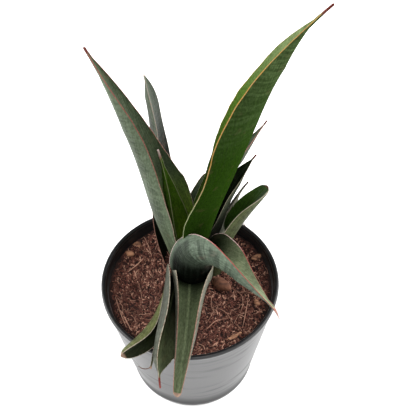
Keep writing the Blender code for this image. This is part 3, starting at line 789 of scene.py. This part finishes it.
def build_soil():
    rng = random.Random(11)
    rings = BED_RINGS
    segments = BED_SEGMENTS
    verts, tint = [], []
    for k in range(rings + 1):
        radius = BED_RADIUS * (1 - k / rings) + 0.05
        for j in range(segments):
            angle = math.tau * (j + 0.5 * (k % 2)) / segments
            x = radius * math.cos(angle)
            y = radius * math.sin(angle)
            z = soil_height(x, y)
            verts.append((x, y, z))
            tint.append(0.15 + 0.2 * noise.noise(Vector((x, y, z)) / 3.0))
    faces = ring_faces(rings + 1, segments)
    faces.append(tuple(rings * segments + k for k in range(segments)))
    start = len(verts)
    for radius, height in BED_SIDES:
        for j in range(segments):
            angle = math.tau * j / segments
            verts.append((radius * math.cos(angle), radius * math.sin(angle), height))
            tint.append(0.1)
    for j in range(segments):
        k = (j + 1) % segments
        faces.append((start + j, start + k, k, j))
    faces += [(a, d, c, b) for a, b, c, d in ring_faces(3, segments, start)]
    faces.append(tuple(start + 2 * segments + k for k in range(segments)))
    # The bed shows in the gaps between granules. Its near-black to dark brown is dark soil, made darker as
    # painted shade in those gaps.
    bed = soil_material("soil_bed", (0.006, 0.002, 0.0015), (0.050, 0.016, 0.011), (0.14, 0.06, 0.04))
    add_piece("soil_bed", verts, faces, bed, ("potting_soil",), {"tint": tint})
    build_fibres(rng)


def strand(start, heading, length, radius, curl, rng, sides=4, lift=0.0):
    """A bent tapering fibre lying on the soil, as rings of points."""
    steps = max(3, int(length / 1.2))
    rings = []
    x, y = start
    turn = rng.uniform(-curl, curl)
    arch = rng.uniform(0.1, 0.8) * min(length, 8.0) * 0.22
    for i in range(steps + 1):
        t = i / steps
        z = soil_height(x, y) + radius * 0.6 + lift + arch * math.sin(math.pi * t)
        centre = Vector((x, y, z))
        side = Vector((-math.sin(heading), math.cos(heading), 0.0))
        size = radius * (0.35 + 0.65 * math.sin(math.pi * min(1.0, 0.15 + t * 0.8)))
        ring = []
        for j in range(sides):
            angle = math.tau * j / sides
            ring.append(centre + side * (size * math.cos(angle)) + Vector((0, 0, size * math.sin(angle))))
        rings.append(ring)
        heading += turn / steps + rng.uniform(-0.12, 0.12)
        x += math.cos(heading) * length / steps
        y += math.sin(heading) * length / steps
        reach = math.hypot(x, y)
        if reach > FIBRE_REACH:
            x *= FIBRE_REACH / reach
            y *= FIBRE_REACH / reach
            heading += 0.6
    return rings


LAID_FIBRES = (
    # radius, tone, then the points it passes
    (0.50, 0.75, ((37.4, 53.7), (45.7, 40.0), (50.4, 26.7), (56.1, 12.5))),
    (0.35, 1.00, ((-42.4, 14.4), (-37.1, 20.4), (-31.5, 27.1))),
    (0.40, 1.00, ((-46.9, -17.2), (-43.1, -24.7), (-39.1, -33.2))),
    (0.30, 0.95, ((-50.6, -7.2), (-46.6, -19.9), (-42.2, -31.6))),
    (0.30, 0.90, ((39.6, -4.8), (37.3, -18.3), (34.5, -32.2))),
    (0.30, 0.85, ((10.3, -31.0), (17.1, -25.0), (25.1, -22.8))),
    (0.26, 0.90, ((26.4, 2.7), (33.8, -2.3), (42.0, -1.7))),
    (0.26, 0.85, ((15.9, -13.2), (23.9, -18.1), (28.3, -27.5))),
)


def laid_strand(path, radius, sides=6, steps=18):
    """A tapering thread through the given points, as rings of points."""
    coords = np.array([tuple(p) for p in path])
    s = np.linspace(0, 1, steps + 1)
    line = np.stack([blend_values(coords[:, k], s) for k in range(3)], 1)
    along = np.gradient(line, axis=0)
    along /= np.linalg.norm(along, axis=1)[:, None]
    side = np.cross(along, (0.0, 0.0, 1.0))
    side /= np.linalg.norm(side, axis=1)[:, None]
    up = np.cross(side, along)
    size = radius * (0.4 + 0.6 * np.sin(np.pi * np.minimum(1.0, 0.15 + 0.75 * s)))
    angles = np.linspace(0, math.tau, sides, endpoint=False)
    return [[Vector(line[i] + size[i] * (side[i] * math.cos(a) + up[i] * math.sin(a))) for a in angles]
            for i in range(steps + 1)]


def build_fibres(rng):
    verts, faces, tint = [], [], []

    def take(rings, tone):
        first = len(verts)
        count = len(rings[0])
        for ring in rings:
            verts.extend(tuple(p) for p in ring)
            tint.extend([tone] * count)
        faces.extend(ring_faces(len(rings), count, first))
        faces.append(tuple(first + k for k in range(count))[::-1])
        faces.append(tuple(first + (len(rings) - 1) * count + k for k in range(count)))

    def spot(limit=53.0):
        while True:
            x = rng.uniform(-limit, limit)
            y = rng.uniform(-limit, limit)
            if math.hypot(x, y) < limit and math.hypot(x - CROWN_X, y - CROWN_Y) > 6.0:
                return x, y

    for _ in range(GRANULES):
        length = rng.uniform(0.8, 2.6)
        tone = min(1.0, max(0.0, rng.gauss(0.48, 0.30)))
        take(strand(spot(), rng.uniform(0, math.tau), length, rng.uniform(0.28, 0.62), 1.4, rng), tone)
    for _ in range(SHORT_FIBRES):
        take(strand(spot(), rng.uniform(0, math.tau), rng.uniform(3.5, 8.0), rng.uniform(0.2, 0.42),
                    1.8, rng, lift=0.3), min(1.0, max(0.0, rng.gauss(0.62, 0.2))))
    for _ in range(LONG_FIBRES):
        take(strand(spot(50.0), rng.uniform(0, math.tau), rng.uniform(10.0, 22.0), rng.uniform(0.14, 0.26),
                    2.0, rng, lift=0.6), rng.uniform(0.7, 1.0))
    for radius, tone, points in LAID_FIBRES:
        path = [Vector((x, y, soil_height(x, y) + 1.0)) for x, y in points]
        take(laid_strand(path, radius), tone)
    material = soil_material("coir_fibre", (0.026, 0.008, 0.005), (0.108, 0.037, 0.025), (0.42, 0.23, 0.16))
    add_piece("coir_fibres", verts, faces, material, (), {"tint": tint})


# ------------------------------------------------------------------ chips

CHIPS = (
    ("bark_chip_large", 0.2), ("bark_chip_round", 0.9), ("bark_chip_left", 0.8),
    ("bark_chip_right", 0.85), ("bark_chip_front", 0.8), ("straw_sliver", 1.0),
)


def bark_material():
    material, board, shader = new_material("bark", 0.85, 0.3)
    where = board.add("ShaderNodeTexCoord").outputs["Object"]
    layer = board.add("ShaderNodeMapping")
    board.wire(where, layer.inputs["Vector"])
    layer.inputs["Rotation"].default_value = (0.3, 0.2, 0.7)
    layer.inputs["Scale"].default_value = (90.0, 500.0, 500.0)
    grain = board.cloud(layer.outputs[0], 1.0, 5.0, 0.65)
    tint = board.value("tint")
    base = board.blend(tint, (0.085, 0.026, 0.015), (0.36, 0.18, 0.10))
    base = board.blend(board.spread(grain, 0.35, 0.6), tuple(c * 0.5 for c in (0.12, 0.05, 0.03)), base)
    board.wire(base, shader.inputs["Base Color"])
    board.wire(board.maths("ADD", 0.7, board.maths("MULTIPLY", grain, 0.25)), shader.inputs["Roughness"])
    board.wire(board.bump(grain, 0.8, 0.0006), shader.inputs["Normal"])
    return material


THREAD_STEPS = ((0.0, 0.0, 0.0), (-2.5, -0.6, -1.8), (-5.5, -0.6, -1.4), (-8.0, 0.0, 0.8))


def build_chips(material):
    for number, (name, tone) in enumerate(CHIPS):
        low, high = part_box(name)
        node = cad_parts[name]
        bm = bmesh.new()
        bm.from_mesh(node.data)
        bmesh.ops.remove_doubles(bm, verts=bm.verts, dist=1e-5)
        bmesh.ops.subdivide_edges(bm, edges=bm.edges, cuts=4, use_grid_fill=True, smooth=0.5)
        bmesh.ops.triangulate(bm, faces=bm.faces)
        for vert in bm.verts:
            p = vert.co / MM
            wobble = noise.noise(p / 1.6 + Vector((number * 3.0, 0, 0))) * 0.35 + noise.noise(p / 0.6) * 0.12
            vert.co += vert.normal * wobble * MM
        centre = (Vector(low) + Vector(high)) / (2 * MM)
        away = max(0.0, math.hypot(centre.x, centre.y) - BANK_START) / BANK_WIDTH
        lift = Vector((0.0, 0.0, BANK_RISE * min(1.0, away)))
        verts = [tuple(v.co / MM + lift) for v in bm.verts]
        faces = [tuple(v.index for v in f.verts) for f in bm.faces]
        bm.free()
        tint = [tone] * len(verts)
        add_piece(name + "_bark", verts, faces, material, (name,), {"tint": tint})


def build_thread(material):
    """The dried thread that curls away from the sliver leaf's tip."""
    leaf = next(one for one in LEAVES if one["name"] == "sliver_leaf")
    tip = midrib_path(leaf, np.linspace(0, 1, 60))[-2]
    path = [Vector(tip + np.array(step)) for step in THREAD_STEPS]
    rings = laid_strand(path, 0.3)
    verts = [tuple(p) for ring in rings for p in ring]
    count = len(rings[0])
    faces = ring_faces(len(rings), count)
    faces.append(tuple(range(count))[::-1])
    faces.append(tuple(len(verts) - count + k for k in range(count)))
    add_piece("sliver_leaf_thread", verts, faces, material, (), {"tint": [0.15] * len(verts)})


def build_crown():
    rings, count = 14, 48
    verts, tint = [], []
    for k in range(rings + 1):
        t = k / rings
        height = 80.0 + 18.0 * t
        radius = 12.0 * math.sqrt(max(0.02, 1 - t ** 3))
        for j in range(count):
            angle = math.tau * j / count
            r = radius + 0.5 * noise.noise(Vector((math.cos(angle) * 3, math.sin(angle) * 3, t * 2)))
            verts.append((CROWN_X + r * math.cos(angle), CROWN_Y + r * math.sin(angle), height))
            tint.append(t)
    faces = ring_faces(rings + 1, count)
    faces.append(tuple(range(count))[::-1])
    faces.append(tuple(rings * count + k for k in range(count)))
    material, board, shader = new_material("crown_sheath", 0.6, 0.4)
    where = board.add("ShaderNodeTexCoord").outputs["Object"]
    streak = board.cloud(where, 300.0, 4.0)
    board.wire(board.blend(streak, (0.10, 0.055, 0.025), (0.10, 0.12, 0.02)), shader.inputs["Base Color"])
    board.wire(board.bump(streak, 0.4, 0.0003), shader.inputs["Normal"])
    add_piece("crown_sheath", verts, faces, material, ("plant_crown",), {"tint": tint})


# ------------------------------------------------------------------ floor, light and camera

def build_stage():
    mesh = bpy.data.meshes.new("floor")
    size = 3.0
    corners = [(-size, -size, 0), (size, -size, 0), (size, size, 0), (-size, size, 0)]
    mesh.from_pydata(corners, [], [(0, 1, 2, 3)])
    floor = bpy.data.objects.new("floor", mesh)
    bpy.context.scene.collection.objects.link(floor)
    material, board, shader = new_material("pale_floor", 0.9, 0.1)
    shader.inputs["Base Color"].default_value = (0.92, 0.92, 0.92, 1.0)
    mesh.materials.append(material)


ROOM_LIGHT = 0.46


def area_light(name, place, aim, size, power):
    light = bpy.data.lights.new(name, "AREA")
    light.shape = "SQUARE"
    light.size = size
    light.energy = power
    lamp = bpy.data.objects.new(name, light)
    lamp.location = place
    lamp.rotation_euler = (Vector(aim) - Vector(place)).to_track_quat("-Z", "Y").to_euler()
    bpy.context.scene.collection.objects.link(lamp)


def build_light():
    world = bpy.data.worlds.new("studio")
    world.use_nodes = True
    board = Board(world.node_tree)
    background = board.nodes["Background"]
    background.inputs["Color"].default_value = (1, 1, 1, 1)
    seen = board.add("ShaderNodeLightPath").outputs["Is Camera Ray"]
    board.wire(board.maths("ADD", ROOM_LIGHT, board.maths("MULTIPLY", seen, 1.0 - ROOM_LIGHT)),
               background.inputs["Strength"])
    bpy.context.scene.world = world
    area_light("left_softbox", (-0.85, 0.10, 0.62), (0, 0, 0.10), 0.7, 17.0)
    area_light("front_softbox", (0.0, -0.42, 1.10), (0, 0, 0.12), 0.6, 8.0)
    area_light("right_softbox", (0.85, 0.15, 0.62), (0, 0, 0.10), 0.7, 19.0)


CAMERA_DISTANCE = 0.674
CAMERA_PITCH = 52.4
CAMERA_ROLL = -0.9
CAMERA_LENS = 86.5
RIM_CENTRE = Vector((0.0, 0.0, 0.099))
RIM_OFFSET = (-0.01213, -0.04866)


def build_camera():
    """The camera looks down at the pot. RIM_OFFSET is the rim's middle, in metres from its axis."""
    camera = bpy.data.cameras.new("camera")
    camera.lens = CAMERA_LENS
    camera.sensor_width = 36.0
    body = bpy.data.objects.new("camera", camera)
    pitch = math.radians(CAMERA_PITCH)
    turn = Euler((math.pi / 2 - pitch, 0, 0)).to_matrix() @ Matrix.Rotation(math.radians(CAMERA_ROLL), 3, "Z")
    right = turn @ Vector((1, 0, 0))
    up = turn @ Vector((0, 1, 0))
    forward = turn @ Vector((0, 0, -1))
    body.location = RIM_CENTRE - forward * CAMERA_DISTANCE - right * RIM_OFFSET[0] - up * RIM_OFFSET[1]
    body.rotation_euler = turn.to_euler()
    bpy.context.scene.collection.objects.link(body)
    bpy.context.scene.camera = body


build_pot()
build_soil()
bark = bark_material()
build_chips(bark)
build_thread(bark)
build_crown()
build_leaves()
build_stage()
build_light()
build_camera()
bpy.context.scene.view_settings.view_transform = "Standard"
